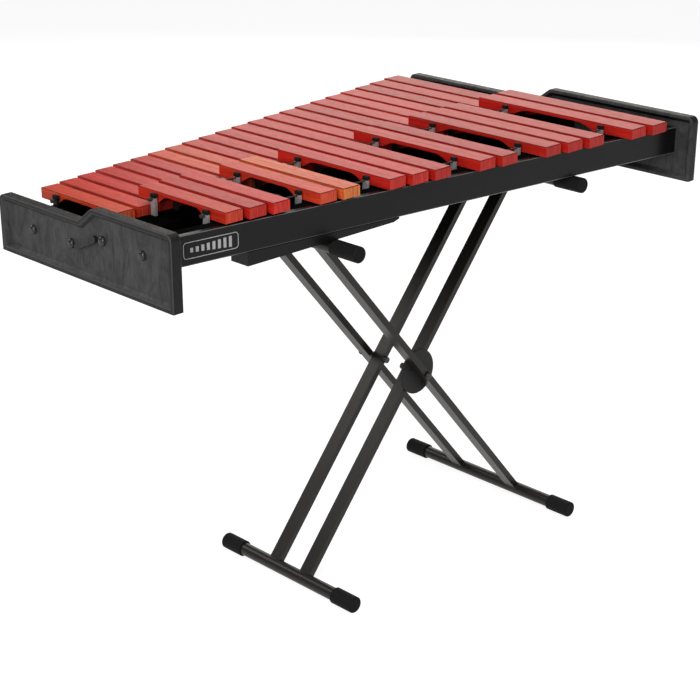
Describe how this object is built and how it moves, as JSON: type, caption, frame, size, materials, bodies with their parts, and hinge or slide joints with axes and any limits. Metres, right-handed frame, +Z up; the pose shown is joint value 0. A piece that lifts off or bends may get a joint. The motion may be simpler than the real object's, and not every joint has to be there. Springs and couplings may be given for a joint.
{
  "type": "xylophone on folding stand",
  "caption": "Table xylophone with two rows of graduated hardwood bars between stepped black end panels, standing on a double-braced folding X stand.",
  "frame": {"origin": "on the floor under the middle of the object's bounding box", "axes": "+X towards the low-pitched wide end, -Y towards the audience side, +Z up"},
  "size_m": [1.1628, 0.7372, 0.7607],
  "materials": {
    "padouk": "satin",
    "panel_black": "brush-embossed satin black",
    "rail_black": "satin black paint",
    "bolt_black": "satin black",
    "post_steel": "zinc plated",
    "cord": "braided",
    "powder_coat": "satin powder coat",
    "rubber": "matte",
    "lock_plastic": "matte",
    "lock_steel": "satin"
  },
  "bodies": {
    "instrument": {"bar_c5": "padouk", "bar_d5": "padouk", "bar_e5": "padouk", "bar_f5": "padouk", "bar_g5": "padouk", "bar_a5": "padouk", "bar_b5": "padouk", "bar_c6": "padouk", "bar_d6": "padouk", "bar_e6": "padouk", "bar_f6": "padouk", "bar_g6": "padouk", "bar_a6": "padouk", "bar_b6": "padouk", "bar_c7": "padouk", "bar_d7": "padouk", "bar_e7": "padouk", "bar_f7": "padouk", "bar_g7": "padouk", "bar_a7": "padouk", "bar_b7": "padouk", "bar_c8": "padouk", "bar_cs5": "padouk", "bar_ds5": "padouk", "bar_fs5": "padouk", "bar_gs5": "padouk", "bar_as5": "padouk", "bar_cs6": "padouk", "bar_ds6": "padouk", "bar_fs6": "padouk", "bar_gs6": "padouk", "bar_as6": "padouk", "bar_cs7": "padouk", "bar_ds7": "padouk", "bar_fs7": "padouk", "bar_gs7": "padouk", "bar_as7": "padouk", "end_panel_high": "panel_black", "end_panel_low": "panel_black", "rail_front": "rail_black", "rail_sharp_inner": "rail_black", "rails_natural": "rail_black", "base_boards": "rail_black", "support_wedges": "rail_black", "rail_bolts": "bolt_black", "cord_posts": "post_steel", "suspension_cords": "cord"},
    "pivot": {"pivot_bolts": "bolt_black"},
    "inner_frame": {"inner_foot_tube": "powder_coat", "inner_arm_tube": "powder_coat", "inner_legs": "powder_coat", "inner_rubber": "rubber", "ratchet_plate": "lock_steel"},
    "outer_frame": {"outer_foot_tube": "powder_coat", "outer_arm_tube": "powder_coat", "outer_legs": "powder_coat", "outer_rubber": "rubber", "lock_disc": "lock_plastic"},
    "release": {"release_tab": "lock_plastic"}
  },
  "joints": [
    {"name": "stand_height", "type": "slide", "parent": "instrument", "child": "pivot", "axis": [0, 0, 1], "range_m": [0, 0.09]},
    {"name": "inner_fold", "type": "hinge", "parent": "pivot", "child": "inner_frame", "pos_m": [0.03675, -0.105, 0.3442], "axis": [0, 1, 0], "range_deg": [0, 19.3]},
    {"name": "outer_fold", "type": "hinge", "parent": "pivot", "child": "outer_frame", "pos_m": [0.03675, -0.105, 0.3442], "axis": [0, -1, 0], "range_deg": [0, 21.3]},
    {"name": "lock_release", "type": "slide", "parent": "outer_frame", "child": "release", "axis": [0.6456, 0, -0.7637], "range_m": [0, 0.004], "stiffness_N_per_m": 300}
  ],
  "couplings": [
    {"joint": "inner_fold", "follows": "stand_height", "rad_per_m": 3.7035},
    {"joint": "outer_fold", "follows": "stand_height", "rad_per_m": 4.0923}
  ]
}
